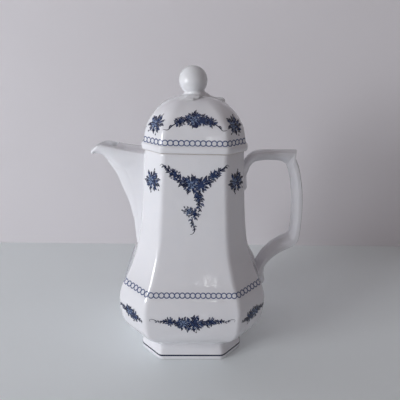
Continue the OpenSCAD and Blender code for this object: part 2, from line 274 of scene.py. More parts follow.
WAY = [(-12.6, -55.8, IN, -50.8, 0.12, 0.42, 0.5, 0.55), (-15.8, -43.8, IN, -36.8, 0.15, 0.48, 0.62, 0.58),
       (-18.8, -35.3, IN, -25.8, 0.17, 0.53, 0.7, 0.6), (-21.8, -27.3, IN, -15.8, 0.19, 0.57, 0.76, 0.64),
       (-24.2, -22.3, -1.4, -7.3, 0.2, 0.6, 0.8, 0.68), (-26.8, -18, -13.4, -6, 0.21, 0.63, 0.8, 0.66),
       (-30, -13.9, -22.4, -5, 0.22, 0.65, 0.79, 0.6), (-32.9, -11.2, -27.9, 3.2, 0.23, 0.66, 0.76, 0.5),
       (-36.9, -7.9, -34.4, 4.2, 0.23, 0.64, 0.74, 0.5), (-40.4, -6.4, -40, 4.2, 0.22, 0.54, 0.6, 0.5),
       (-43.6, -6.2, -44.4, 4.2, 0.2, 0.4, 0.42, 0.5), (-48.4, -7.8, -50.4, 4.2, 0.17, 0.28, 0.3, 0.5)]
MIRROR = np.array([1, -1, 1])  # takes a point to the other side of the pot


def spout_points(row):
    "nose, ridge and root of a row, on the side of positive y"
    nose_x, nose_z, root_x, root_z, nose_y, ridge_y, root_y, at = row
    half = np.interp(-root_x, (0, 30), (SPOUT_HALF, MOUTH_HALF))
    nose, root = np.array([nose_x, nose_y * half, nose_z]), np.array([root_x, root_y * half, root_z])
    ridge = root + (nose - root) * at
    ridge[1] = ridge_y * half
    return [p + [-RIM_HALF, 0, RIM] for p in (nose, ridge, root)]


def beak(name, rows, steps, corner):
    "a form like a beak through the rows"
    sides = [spout_points(row) for row in smooth(rows, steps)]
    return skin(name, [round_off([p * MIRROR for p in side] + side[::-1], corner) for side in sides])


# %% The spout, carved
spout = beak("spout_beak", SPOUT, 5, 0.3)
way = beak("cutter_way", WAY, 4, 0.35)
carve(spout, body_block, way)
carve(body, way)
print("spout faces:", len(spout.data.polygons))


# %% The leaf in low relief round the spout's front
def spout_leaf():
    "a leaf that wraps the nose, widest in the middle and 0.6 mm proud there"
    rows, rings = smooth(SPOUT[3:10], 6), []
    for k, row in enumerate(rows):
        t = k / (len(rows) - 1)
        nose, ridge, _ = spout_points(row)
        wave = 1 + 0.05 * math.sin(11 * t)
        wide = 0.08 + 0.8 * math.sin(math.pi * (0.03 + 0.94 * t) ** 0.75) ** 0.6 * wave
        lift = 0.6 * math.sin(math.pi * (0.04 + 0.92 * t)) ** 0.5
        out_side, out_nose = np.array([-0.4, 0.85, -0.25]) * lift, np.array([-0.75, 0.1, -0.5]) * lift
        half = wide * (ridge - nose)
        side = [nose + half - [0, 0.9, 0], nose + half - 0.15 * out_side,
                nose + 0.74 * half + 0.75 * out_side, nose + 0.4 * half + out_side, nose + out_nose]
        rings.append(round_off(side + [p * MIRROR for p in side[::-1]], 0.25))
    return soften(skin("spout_leaf_relief", rings), 50)


relief = spout_leaf()
print("relief faces:", len(relief.data.polygons))

# %% [markdown]
# The handle
#
# The handle is a bar with eight sides that leaves the neck, runs level to a pointed thumb spur,
# turns down, and comes back to the belly on a slant. It could be a curve with a bevel, but the
# bar changes in depth and width along its way, so each row gives both of its faces.

# %% The handle's rows
# outer x, outer z, inner x, inner z, share of the half width
BAR = [(1, -17.4, 2, -31, 1.1), (4.4, -12.3, 6.4, -24.6, 1.08), (7.9, -8, 8.8, -17.8, 1.02),
       (11.9, -5.4, 12.5, -13.9, 1), (17.4, -4.2, 18, -12.6, 0.98), (25.4, -3.8, 25.4, -12.1, 0.95),
       (33.4, -3.8, 32.9, -12.5, 0.95), (41, -3.6, 36.9, -13.7, 0.95), (47.2, -3.4, 39.7, -15.9, 0.7),
       (46.9, -10.6, 41.5, -19, 0.95), (50.6, -18, 43, -23.4, 1), (53.2, -27.3, 44.6, -29, 1),
       (55.2, -36.3, 46, -36, 1), (56.6, -45.6, 47.4, -45.2, 1), (57.5, -56.8, 48.4, -56.3, 1),
       (57.9, -67.8, 48.9, -66.8, 1), (57.8, -76.8, 48.7, -74.3, 1), (57.4, -83.8, 48, -78.6, 1),
       (56, -89, 46, -81.1, 0.98), (51.9, -92.5, 41.9, -82.9, 0.96), (46.6, -95.6, 37.2, -85.8, 0.96),
       (41.2, -98.7, 32.2, -89.6, 0.98), (35.9, -103, 27.8, -94.4, 1), (31.5, -107.6, 24, -99.6, 1.02),
       (28.6, -112.6, 21.3, -105, 1.05), (26.4, -118, 18.5, -111, 1.08), (23, -124, 14, -117, 1.1)]
SPUR = 8  # the row of the thumb spur, where the bar turns sharply
ROOT = (-2.4, -18.4, -1.6, -32.4, 1.1)
OUTER_FLAT, SLOPE = 0.42, 0.28  # the flat share of the outer face, and how steeply its edges fall


def bar(name, rows, flat, corner=0.14, half=BAR_HALF, base=(RIM_HALF, RIM)):
    "a bar with eight sides between its outer and its inner line, with a ridge along each side"
    rings = []
    for outer_x, outer_z, inner_x, inner_z, share in rows:
        outer = np.array([outer_x + base[0], 0, outer_z + base[1]])
        inner = np.array([inner_x + base[0], 0, inner_z + base[1]])
        side = np.array([0, share * half, 0])
        top = outer * (1 - SLOPE * (1 - OUTER_FLAT)) + inner * SLOPE * (1 - OUTER_FLAT)
        ring = [inner + flat * side, (inner + outer) / 2 + side, top + side, outer + OUTER_FLAT * side]
        rings.append(round_off([p * MIRROR for p in ring[::-1]] + ring, corner))
    return skin(name, rings)


# %% The handle, its leaves and its curl
REACH = 57.88  # the handle's outer face ends this far from the neck, just inside the solid
handle_line = np.array([*smooth([ROOT] + BAR[:SPUR], 5), BAR[SPUR], *smooth(BAR[SPUR + 1:], 5)])
handle_line[:, 0] = np.minimum(handle_line[:, 0], REACH)
handle = carve(bar("handle_bar", handle_line, 0.42), body_block)
LEAF_TOP = [(5.2, -21, -2, -21, 0.3), (6, -25, -2, -25, 0.7), (6.6, -31, -1, -31, 0.95),
            (7.3, -35.5, -1, -35.5, 0.8), (6.6, -38.6, 0, -38.6, 0.5), (4.8, -40, 1, -40, 0.2)]
LEAF_LOW = [(11.6, -92.5, 5, -95, 0.16), (14, -96, 6, -99, 0.6), (16.4, -100, 7, -103.5, 0.95),
            (18.8, -105, 9, -109, 1.05), (21, -111, 12, -114, 0.9)]
CURL = [(28.2, -113, 20, -113, 0.9), (28, -119.2, 20, -119.2, 0.9), (28.9, -124.6, 21, -125, 0.75),
        (29.6, -128.4, 24.4, -129.6, 0.5), (28.8, -131.4, 26.6, -132, 0.25)]
leaf_top, leaf_low, curl = (
    carve(bar(name, smooth(rows, 4), flat), body_block, handle)
    for name, rows, flat in (("handle_leaf_upper", LEAF_TOP, 0.3), ("handle_leaf_lower", LEAF_LOW, 0.3),
                             ("handle_root_curl", CURL, 0.4)))
print("handle faces:", len(handle.data.polygons))

# %% [markdown]
# The foot ring
#
# The pot stands on a ring with a recess inside it, which keeps the floor off the table while it
# cools. Its rim is wiped clean of glaze before firing, so that the pot doesn't stick to the kiln
# shelf. It is lofted as one closed loop: outside, underside, inside and the joint on top.

# %% The foot ring
foot_outside = np.array([(0, 43.2), (0.25, 43.7), (1, 44.5), (2, 44.78), (3, 44.9), (FOOT * 0.7, 45),
                         (FOOT * 0.85, 44.65), (FOOT, 44)])
foot_rings = [level(z, h) for z, h in foot_outside]
foot_rings += [level(z, 44, FOOT_RIM) for z in (FOOT, 6, 3, 0.8)] + [level(0, 44, FOOT_RIM - 0.8)]
foot = skin("foot_ring_cast", foot_rings, loop=True)
print("foot faces:", len(foot.data.polygons))

# %% [markdown]
# The lid
#
# The lid is a dome on the same outline, with a straight edge that rests on the rim and a collar
# that drops into the neck and holds it while the pot is tilted. Like the body it is one wall
# thick, so it is lofted up the outside, and then the room under it is carved out.

# %% The lid's dome
# share of the height, share of the half width
DOME = [(0.17, 0.958), (0.2, 0.954), (0.3, 0.942), (0.46, 0.905), (0.6, 0.842), (0.73, 0.755),
        (0.83, 0.655), (0.905, 0.55), (0.96, 0.43), (1, 0.29)]
# the straight edge: share of its height, distance in from its widest part
LID_EDGE = [(0, 1.3), (0.03, 0.9), (0.08, 0.5), (0.16, 0.2), (0.333, 0), (0.733, 0), (0.83, 0.16),
            (0.917, 0.5), (0.97, 0.9), (1.02, 1.4)]
dome_profile = smooth([(RIM + u * (LID_TOP - RIM), o * LID_HALF) for u, o in DOME], 6)
lid_outside = [(RIM + s * FLANGE, LID_HALF - d) for s, d in LID_EDGE]
lid_outside += [(z, h) for z, h in dome_profile if z > RIM + FLANGE + 0.7]


def lid_bend(z, h):
    "radius of the dome's upright edges, which grow rounder toward the top"
    rise = min(max((z - 194) / (LID_TOP - 6 - 194), 0), 1)
    widest = 0.92 * h * (1 - SHARE) / math.sqrt(2) / TURN_IN
    return min(EDGE + 6 * rise * rise * (3 - 2 * rise), widest)


bore = COLLAR_HALF - COLLAR_WALL + WALL
room_rows = [(RIM - 1, bore), (RIM + 2, bore)]
room_rows += [(z, h) for z, h in dome_profile if RIM + FLANGE < z < LID_TOP - WALL - 0.8]
room_rows += [(LID_TOP - WALL, LID_HALF * 0.3)]
dome = skin("lid_dome_cast", [level(z, h, 0, lid_bend(z, h)) for z, h in lid_outside])
room = skin("cutter_lid_room", [level(z, h, WALL) for z, h in room_rows])
carve(dome, room)
print("dome faces:", len(dome.data.polygons))

# %% The collar under the lid
low = RIM - COLLAR_DEPTH
# height and distance in from the collar's outside: up the outside, then down the inside
collar_rows = [(low + 1.2, 0), (low + 3, 0), (RIM, 0), (RIM, COLLAR_WALL), (low + 0.9, COLLAR_WALL),
               (low + 0.25, COLLAR_WALL - 0.25), (low, COLLAR_WALL - 0.9), (low, 0.9), (low + 0.3, 0.3)]
collar = skin("lid_collar_cast", [level(z, COLLAR_HALF, t, EDGE - WALL) for z, t in collar_rows], loop=True)
print("collar faces:", len(collar.data.polygons))

# %% [markdown]
# The knob
#
# The knob is a round fruit that leans a little toward the spout, in a low cup. A cut twig lies
# behind it and two leaves spread at its foot. A fruit is not a ball: it has a shallow dimple where
# the flower was, and faint lobes. So the fruit is turned row by row, with its radius eased.

# %% The fruit and its cup
def turned(name, rows, count=72, lobes=0.0):
    "a round piece from rows of radius, height and sideways shift"
    rings = []
    for r, z, x in rows:
        ring = []
        for k in range(count):
            a = 2 * math.pi * k / count
            rr = r * (1 - lobes * (0.5 + 0.5 * math.cos(5 * a)) * min(1, r / FRUIT))
            ring.append((x + rr * math.cos(a), rr * math.sin(a), z))
        rings.append(ring)
    return skin(name, rings)


fruit_z = LID_TOP + CUP_HIGH + math.sqrt(FRUIT ** 2 - (CUP - 1.6) ** 2)
fruit_rows = []
for k in range(49):
    a = math.radians(-52 + (90 - 0.6 + 52) * k / 48)
    dimple = 0.12 * math.exp(-((90 - math.degrees(a)) / 13) ** 2)
    fruit_rows.append((FRUIT * math.cos(a), fruit_z + FRUIT * math.sin(a) - dimple - 0.02, -LEAN))
fruit = turned("knob_fruit_cast", fruit_rows, lobes=0.012)
CUP_ROWS = [(13.6, -1.3, 0), (13.2, -0.62, 0), (12.2, -0.12, 0), (11.2, 0.3, 0), (10.3, 0.85, 0),
            (9.6, 1.5, 0), (9.0, 2.3, -0.1), (8.6, 3.1, -0.3), (8.35, 3.9, -0.6), (8.2, 4.6, -0.9),
            (7.6, 5.0, -1.1)]
cup = turned("knob_cup_cast", [(r, LID_TOP + z, x) for r, z, x in CUP_ROWS], 64)

# %% The twig and the leaves
# outer x, outer z, inner x, inner z, half width
TWIG = [(5, 3.6, 5, -6, 4.6), (9, 2.9, 9, -6, 4), (12, 0.9, 12, -6, 3.1), (15.5, -0.4, 15.5, -6.5, 2.5),
        (19, -0.6, 18.6, -7.5, 2.6), (22, -0.7, 21, -8.5, 3.1), (24, -2.4, 22.6, -9, 2.8)]
# x, z, half width, height of the rib
LEAF = [(5, 1.4, 5, 1.0), (9, 1.3, 7, 1.1), (13, 0.5, 7.6, 1.15), (17, -0.7, 6.9, 1.1),
        (20.4, -2.2, 5, 1.0), (22.8, -3.5, 3, 0.9), (24.3, -4.6, 1.3, 0.7)]
# shares of the half width and of the rib's height
LEAF_SLOPE = [(0.72, 0.42), (0.4, 0.55), (0.14, 0.62)]


def leaf(name, turn):
    "a leaf along its middle rib, softly ridged on top, with a wavy edge"
    rings = []
    for x, z, half, rib in smooth(LEAF, 6):
        wave = 0.4 * math.sin(x * 1.1 + turn)
        half, bend = half * (1 + 0.09 * math.sin(x * 1.5 + turn)), math.radians(turn - 1.1 * (x - 5))
        c, s = math.cos(bend), math.sin(bend)
        slope = [(half * a, z + rib * u) for a, u in LEAF_SLOPE]
        ring = [(0, z - 4), (half, z - 1.2), (half, z + wave), *slope, (0, z + rib)]
        ring += [(-y, h) for y, h in slope[::-1]] + [(-half, z - wave), (-half, z - 1.2)]
        rings.append([(x * c - y * s, x * s + y * c, LID_TOP + h) for y, h in ring])
    return skin(name, rings)


twig = bar("knob_twig_cast", smooth(TWIG, 5), 0.5, 0.3, 1.0, (0, LID_TOP))
leaf_front, leaf_back = leaf("knob_leaf_front_cast", -101), leaf("knob_leaf_back_cast", 101)
cap = skin("cutter_cap", [level(z, h, 0, lid_bend(z, h)) for z, h in dome_profile if z > LID_TOP - 16])
for piece in (twig, leaf_front, leaf_back):
    carve(piece, cap)
print("knob pieces:", [p.name for p in (fruit, cup, twig, leaf_front, leaf_back)])

# %% [markdown]
# The joints
#
# Castings are stuck together with wet slip, and the slip and the glaze over it fill the corner, so
# no joint on a pot is a sharp line. A bevel can't round the corner between two separate pieces.
# So the line where a piece meets the body is read from its mesh, and a small bead with a hollow
# face is lofted along it, with its two feet sunk into the two surfaces.

# %% Reading a joint's line from a mesh
def joint_lines(piece, ground):
    "loops of points where the piece's outside meets the ground: place, ground's normal, side's normal"
    b = bmesh.new()
    b.from_mesh(piece.data)
    b.normal_update()
    low = {f: (ground.find_nearest(f.calc_center_median())[3] or 0) < 2e-5 for f in b.faces}
    near = {}
    for e in b.edges:
        if len(e.link_faces) == 2 and low[e.link_faces[0]] != low[e.link_faces[1]]:
            for v in e.verts:
                near.setdefault(v, []).append(e)
    loops = []
    while near:
        v = next(iter(near))
        line = []
        while v is not None:
            line.append(v)
            v = next((e.other_vert(v) for e in near.pop(v) if e.other_vert(v) in near), None)
        loops.append([])
        for v in line:
            side = sum((f.normal * f.calc_area() for f in v.link_faces if not low[f]), Vector())
            loops[-1].append((v.co.copy(), ground.find_nearest(v.co)[1], side.normalized()))
    b.free()
    return loops


def evenly(line, step):
    "a closed line of rows, set out again at even steps and smoothed a little"
    rows = np.array([[*p, *g, *s] for p, g, s in line + line[:1]])
    run = np.concatenate([[0], np.cumsum(np.linalg.norm(np.diff(rows[:, :3], axis=0), axis=1))])
    at = np.linspace(0, run[-1], max(12, round(run[-1] / step)), endpoint=False)
    rows = np.stack([np.interp(at, run, rows[:, i]) for i in range(9)], 1)
    for _ in range(4):
        rows[:, 3:] = (np.roll(rows[:, 3:], 1, 0) + 2 * rows[:, 3:] + np.roll(rows[:, 3:], -1, 0)) / 4
    return rows


# %% A bead along a joint
def tree_of(piece):
    "the piece's faces, ready to be asked for the nearest point"
    b = bmesh.new()
    b.from_mesh(piece.data)
    tree = BVHTree.FromBMesh(b)
    b.free()
    return tree


def bead(name, piece, ground, reach, shortest):
    "a hollow-faced bead of slip along each closed joint line longer than the shortest, in millimetres"
    own, beads = tree_of(piece), []
    for line in joint_lines(piece, ground):
        length = sum((line[i][0] - line[i - 1][0]).length for i in range(len(line))) / MM
        if length < shortest or (line[0][0] - line[-1][0]).length > 4 * MM:
            continue
        rings = []
        for row in evenly(line, 1.2 * MM):
            p, g, s = Vector(row[:3]), Vector(row[3:6]).normalized(), Vector(row[6:]).normalized()
            foot_dir, side_dir = (s - g * s.dot(g)).normalized(), (g - s * g.dot(s)).normalized()
            a, na = ground.find_nearest(p + foot_dir * reach * MM)[:2]
            c, nc = own.find_nearest(p + side_dir * reach * MM)[:2]
            a, c = a - na * 0.06 * MM, c - nc * 0.06 * MM
            ring = [(1 - t) ** 2 * a + 2 * t * (1 - t) * p + t * t * c for t in (0, 0.2, 0.4, 0.6, 0.8, 1)]
            rings.append([q / MM for q in ring + [p - (g + s) * 0.35 * MM]])
        beads.append(soften(skin("%s_%d" % (name, len(beads)), rings, loop=True), 75))
    print(name, "beads:", len(beads))
    return beads


on_the_body, beads = tree_of(body_block), []
for place, piece, reach, shortest in (("spout", spout, 2.2, 60), ("handle", handle, 1.9, 15),
                                      ("leaf_upper", leaf_top, 0.7, 15), ("leaf_lower", leaf_low, 0.7, 15)):
    beads += bead("bead_" + place, piece, on_the_body, reach, shortest)

# %% Bodies for the pieces
for cutter in (body_block, way, room, cap):
    bpy.data.objects.remove(cutter, do_unlink=True)
for piece in beads + [relief]:
    keep(piece, "pot")
# piece, its solid, the angle above which an edge stays crisp
GROUPS = {"pot": [(body, "pot_body", 40), (spout, "spout", 42), (handle, "handle", 42),
                  (leaf_top, "handle_leaf_top", 45), (leaf_low, "handle_leaf_low", 45),
                  (curl, "handle_curl", 45), (foot, "foot_ring", 40)],
          "lid": [(dome, "lid_dome", 40), (collar, "lid_collar", 40), (fruit, "knob_fruit", 60),
                  (cup, "knob_cup", 40), (twig, "knob_twig", 60), (leaf_front, "knob_leaf_front", 70),
                  (leaf_back, "knob_leaf_back", 70)]}
for body_name, group in GROUPS.items():
    for piece, solid, angle in group:
        soften(piece, angle)
        keep(piece, body_name, solid)

# %% [markdown]
# The print
#
# The blue is a transfer: thin printed film laid on the glaze and fired in. It could be painted by
# a shader, but a pattern of leaves and petals is drawn more simply as small flat shapes. Each
# shape is drawn on paper, then laid on one face of the pot, a tenth of a millimetre off the
# glaze. The flowers, leaves and tendrils are plain ones of my own. The linked rings and the line
# round the foot are common borders.

# %% A point on a face of the pot
# shares of a level's half width: half a slanted face, and its distance from the axis
SLANT, SLANT_OUT = (1 - SHARE) / math.sqrt(2), (1 + SHARE) / math.sqrt(2)


class Surface:
    "one of the lofted forms: gives points on face 0 to 7, across it and along its profile"
    def __init__(self, rows, z0, bend=lambda z, h: EDGE):
        self.rows, self.bends = rows, np.array([bend(z, h) for z, h in rows])
        self.along = np.concatenate([[0], np.cumsum(np.hypot(np.diff(rows[:, 0]), np.diff(rows[:, 1])))])
        self.along -= self.at(z0)
        self.slope = np.gradient(rows[:, 1], self.along), np.gradient(rows[:, 0], self.along)

    def at(self, z):
        "where a height lies along the profile"
        return float(np.interp(z, self.rows[:, 0], self.along))

    def lay(self, face, across, along, lift):
        z, h = (np.interp(along, self.along, self.rows[:, i]) for i in (0, 1))
        dh, dz = (np.interp(along, self.along, g) for g in self.slope)
        q = np.interp(along, self.along, self.bends)
        wide, far = (SHARE, 1) if face % 2 == 0 else (SLANT, SLANT_OUT)
        e = h * wide - q * TURN_IN
        past = np.clip(np.abs(across) - e, 0, q * math.pi / 4)
        bend = past / q * np.sign(across)
        x = np.clip(across, -e, e) + q * np.sin(bend)
        y = -(h * far - q) - q * np.cos(bend)
        rise = dh * far
        size = np.hypot(rise, dz)
        x, y = x + np.sin(bend) * dz / size * lift, y - np.cos(bend) * dz / size * lift
        t = math.radians(45 * face)
        return np.stack([x * math.cos(t) - y * math.sin(t), x * math.sin(t) + y * math.cos(t),
                         z - rise / size * lift], -1)


surfaces = {"pot": Surface(profile, 100.0), "lid": Surface(np.array(sorted(lid_outside)), 200.0, lid_bend)}
print("a point on the front face:", surfaces["pot"].lay(0, np.zeros(1), np.zeros(1), 0)[0].round(2))


# %% Paper shapes: strokes, blobs and rings
class Film:
    "gathers flat shapes on one surface in one tone, and lays them on it as one mesh"
    def __init__(self, surface):
        self.surface, self.shapes = surface, []

    def add(self, face, points, quads, lift):
        self.shapes.append((face, np.array(points, float), quads, lift))

    def strip(self, face, line, widths, lift):
        d = np.gradient(line, axis=0)
        n = np.stack([-d[:, 1], d[:, 0]], 1) / np.maximum(np.hypot(d[:, 0], d[:, 1]), 1e-6)[:, None]
        w, k = widths[:, None] / 2, len(line)
        quads = [(i, k + i, k + i + 1, i + 1) for i in range(k - 1)]
        self.add(face, np.concatenate([line + n * w, line - n * w]), quads, lift)

    def blob(self, face, centre, rx, ry, angle, count, lift, tooth=0.0):
        "an oval; with a tooth its edge has five soft points"
        c, s = math.cos(angle), math.sin(angle)
        pts, quads = [tuple(centre)], []
        for f in (0.55, 1.0):
            for k in range(count):
                a = 2 * math.pi * k / count
                r = f * (1 + tooth * math.cos(5 * a))
                u, v = rx * r * math.cos(a), ry * r * math.sin(a)
                pts.append((centre[0] + u * c - v * s, centre[1] + u * s + v * c))
        for k in range(count):
            n = (k + 1) % count
            quads += [(0, 1 + k, 1 + n), (1 + k, 1 + count + k, 1 + count + n, 1 + n)]
        self.add(face, pts, quads, lift)

    def ring(self, face, centre, outer, inner, lift, count=20):
        a = 2 * np.pi * np.arange(count) / count
        u = np.stack([np.cos(a), np.sin(a)], 1)
        quads = [(k, (k + 1) % count, count + (k + 1) % count, count + k) for k in range(count)]
        self.add(face, np.concatenate([centre + u * outer, centre + u * inner]), quads, lift)

    def mesh(self, name, body_name, material):
        points, faces, start = [], [], 0
        for face, pts, quads, lift in self.shapes:
            points.append(self.surface.lay(face, pts[:, 0], pts[:, 1], lift))
            faces += [tuple(start + i for i in q) for q in quads]
            start += len(pts)
        piece = put(name, np.concatenate(points), faces)
        m = piece.data
        b = bmesh.new()
        b.from_mesh(m)
        for f in b.faces:
            f.normal_update()
            c = f.calc_center_median()
            if f.normal.x * c.x + f.normal.y * c.y + f.normal.z * (0.02 if f.normal.z > 0.9 else 0) < 0:
                f.normal_flip()
        b.to_mesh(m)
        b.free()
        m.polygons.foreach_set("use_smooth", [True] * len(m.polygons))
        m.materials.append(material)
        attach(piece, body_name)
        print(name, "shapes:", len(self.shapes), "faces:", len(m.polygons))


# %% [markdown]
# The glaze
#
# Porcelain is white through and through, under a clear glassy glaze. The glaze is nearly smooth,
# but it lies in very shallow waves, is a touch bluer where it is thick, and holds a few grey pin
# specks. The hand-shaped knob has deeper waves. Where pot and lid touch, the glaze is wiped off
# before firing. The lid's lowest edge gets a dark brown finish: painted shade of the thin gap
# between lid and rim. One node group makes all these marks from the place on the piece. The same
# group goes into the print.

# %% Shader nodes in short
def feed(tree, to, inputs):
    "sets a node's inputs to values, or links them to other nodes' outputs"
    for key, value in inputs.items():
        if isinstance(value, bpy.types.NodeSocket):
            tree.links.new(value, to.inputs[key])
        else:
            to.inputs[key].default_value = value


def node(tree, kind, inputs={}, **settings):
    "a new node with its settings and inputs"
    n = tree.nodes.new(kind)
    for key, value in settings.items():
        setattr(n, key, value)
    feed(tree, n, inputs)
    return n


def sums(tree, operation, a, b):
    return node(tree, "ShaderNodeMath", {0: a, 1: b}, operation=operation).outputs[0]


def blend(tree, share, a, b):
    return node(tree, "ShaderNodeMix", {0: share, 6: a, 7: b}, data_type="RGBA").outputs[2]


def noise(tree, scale, detail):
    place = node(tree, "ShaderNodeTexCoord").outputs["Object"]
    inputs = {"Vector": place, "Scale": scale, "Detail": detail}
    return node(tree, "ShaderNodeTexNoise", inputs).outputs["Fac"]


# %% The marks of the kiln
def kiln_marks():
    "waves, clouds and pin specks of the glaze, as a colour, a roughness and a height"
    g = bpy.data.node_groups.new("kiln_marks", "ShaderNodeTree")
    white = (0.8, 0.8, 0.8, 1)
    for name, kind, value in (("Colour", "Color", white), ("Thick Colour", "Color", white),
                              ("Roughness", "Float", 0.1), ("Speck", "Float", 0.3),
                              ("Grain", "Float", 0.1)):
        socket = g.interface.new_socket(name, in_out="INPUT", socket_type="NodeSocket" + kind)
        socket.default_value = value
    for name, kind in (("Colour", "Color"), ("Roughness", "Float"), ("Height", "Float")):
        g.interface.new_socket(name, in_out="OUTPUT", socket_type="NodeSocket" + kind)
    into = node(g, "NodeGroupInput").outputs
    place = node(g, "ShaderNodeTexCoord").outputs["Object"]
    wave, grain, cloud = noise(g, 55, 1.5), noise(g, 2400, 2.0), noise(g, 130, 3.0)
    cells = node(g, "ShaderNodeTexVoronoi", {"Vector": place, "Scale": 95}).outputs
    dot = sums(g, "LESS_THAN", cells["Distance"], 0.02)
    rare = sums(g, "GREATER_THAN", node(g, "ShaderNodeSeparateColor", {0: cells["Color"]}).outputs[0], 0.72)
    speck = sums(g, "MULTIPLY", sums(g, "MULTIPLY", dot, rare), into["Speck"])
    tint = blend(g, cloud, into["Colour"], into["Thick Colour"])
    uneven = sums(g, "MULTIPLY", sums(g, "SUBTRACT", cloud, 0.5), 0.08)
    feed(g, node(g, "NodeGroupOutput"), {
        "Colour": blend(g, speck, tint, (0.16, 0.15, 0.15, 1)),
        "Roughness": sums(g, "ADD", into["Roughness"], uneven),
        "Height": sums(g, "ADD", wave, sums(g, "MULTIPLY", grain, into["Grain"]))})
    return g


marks = kiln_marks()
print("group:", marks.name, [s.name for s in marks.interface.items_tree])


# %% The finishes
def finish(name, colour, thick, rough, speck, grain, strength, depth):
    "a glossy or bare finish; strength and depth are those of the waves in metres"
    m = bpy.data.materials.new(name)
    m.use_nodes = True
    m.diffuse_color = (*colour, 1)
    t = m.node_tree
    g = node(t, "ShaderNodeGroup", {"Colour": (*colour, 1), "Thick Colour": (*thick, 1), "Roughness": rough,
                                    "Speck": speck, "Grain": grain}, node_tree=marks).outputs
    waves = node(t, "ShaderNodeBump", {"Strength": strength, "Distance": depth, "Height": g["Height"]})
    feed(t, t.nodes["Principled BSDF"], {"IOR": 1.52, "Base Color": g["Colour"],
                                         "Roughness": g["Roughness"], "Normal": waves.outputs["Normal"]})
    return m


# name, thin colour, thick colour, roughness, specks, grain, strength and depth of the waves
glaze, modelled, bare, gap_shade = (finish("porcelain_" + name, *looks) for name, *looks in (
    ("glaze", (0.83, 0.825, 0.855), (0.79, 0.80, 0.845), 0.06, 0.35, 0.02, 0.5, 0.0011),
    ("glaze_hand_shaped", (0.80, 0.80, 0.82), (0.74, 0.76, 0.79), 0.06, 0.45, 0.03, 0.9, 0.0026),
    ("unglazed", (0.74, 0.71, 0.66), (0.66, 0.63, 0.58), 0.62, 0.5, 0.9, 0.6, 0.0004),
    # the last finish is dark brown: painted shade of the thin gap between the lid and the rim
    ("painted_gap_shade", (0.42, 0.33, 0.27), (0.52, 0.43, 0.36), 0.55, 0.5, 0.9, 0.6, 0.0004)))


def bare_and_shade_band(piece, material, below, above=-1.0):
    "gives the faces between two heights, in millimetres, another finish"
    piece.data.materials.append(material)
    v, count = piece.data.vertices, 0
    for face in piece.data.polygons:
        if all(above < v[i].co.z / MM < below for i in face.vertices):
            face.material_index, count = 1, count + 1
    return count


for piece in made:
    piece.data.materials.clear()
    piece.data.materials.append(modelled if piece in (fruit, cup, twig, leaf_front, leaf_back) else glaze)
# the lid's lowest edge, up to 0.6 mm above the rim, gets the dark brown finish: painted shade of the gap
# under the lid
print("bare faces on the foot:", bare_and_shade_band(foot, bare, 0.4), "under the lid:", bare_and_shade_band(dome, gap_shade, RIM + 0.6),
      "on the rim:", bare_and_shade_band(body, bare, RIM + 1, RIM - 0.2))

# %% [markdown]
# The blues of the print
#
# One cobalt colour is printed in dots of different density, so the eye sees three or four blues:
# nearly black leaves, cobalt leaves, pale flowers, and greyer rings. Each blue is a finish of its
# own, with the same gloss as the glaze around it, because the print sinks into the glaze.

# %% Four blues
# thin colour, thick colour, distance off the glaze in millimetres
TONES = {"navy": ((0.004, 0.008, 0.034), (0.009, 0.017, 0.066), 0.08),
         "cobalt": ((0.013, 0.030, 0.10), (0.026, 0.054, 0.155), 0.12),
         "pale": ((0.15, 0.22, 0.38), (0.26, 0.34, 0.50), 0.16),
         "smoke": ((0.075, 0.105, 0.225), (0.12, 0.155, 0.29), 0.08)}
PRINT_GLOSS = 0.07, 0.0, 0.02, 0.4, 0.0009  # roughness, specks, grain, strength and depth of the waves
blues = {t: finish("print_" + t, *colours, *PRINT_GLOSS) for t, (*colours, _) in TONES.items()}
films = {(s, t): Film(surfaces[s]) for s in surfaces for t in TONES}


def lift_of(film, tone):
    "each shape lies a hair above the one before it, so that none shares a plane with another"
    return TONES[tone][2] + 0.004 * (len(film.shapes) % 9)


def path(on, side, *points):
    "points on a face, given as a distance to the right (side 1) or left (-1) and a height"
    return [(side * x, surfaces[on[0]].at(z)) for x, z in points]


print("blues:", list(blues))


# %% A leaf, a flower and a branch
def draw_leaf(on, a, v, angle, length, width, tone="navy"):
    "two halves with a hairline of white between them, pointed at both ends and curved a little"
    film = films[on[0], tone]
    t = np.linspace(0, 1, 8)
    bend = 0.12 * length * np.sin(np.pi * t) * (1 if math.sin(7 * a + 3 * v) > 0 else -1)
    half = width / 2 * np.sin(np.pi * t ** 0.8) ** 0.9
    c, s = math.cos(angle), math.sin(angle)
    for side in (1, -1):
        lines = bend + side * 0.07 * np.sin(np.pi * t), bend + side * np.maximum(half, 0.02)
        pts = [(a + x * length * c - y * s, v + x * length * s + y * c)
               for line in lines for x, y in zip(t, line)]
        film.add(on[1], pts, [(i, i + 1, 9 + i, 8 + i) for i in range(7)], lift_of(film, tone))


def draw_flower(on, a, v, size, tone, petals, turn):
    "slim pale petals over a dark heart, with a pale dot in the middle"
    films[on[0], "navy"].blob(on[1], (a, v), size * 0.86, size * 0.86, turn, 20, 0.12, 0.08)
    for k in range(petals):
        g = turn + 2 * math.pi * k / petals
        out = 0.24 * size * math.cos(g), 0.24 * size * math.sin(g)
        draw_leaf(on, a + out[0], v + out[1], g, size * 0.74, size * 0.33, tone)
    films[on[0], tone].blob(on[1], (a, v), size * 0.13, size * 0.13, 0, 8, TONES["pale"][2] + 0.02)


def draw_stroke(on, points, width, taper=0.25):
    "a tendril that grows thinner"
    line = smooth(points, 8)
    film = films[on[0], "navy"]
    film.strip(on[1], line, width * (1 - (1 - taper) * np.linspace(0, 1, len(line))), lift_of(film, "navy"))
    return line


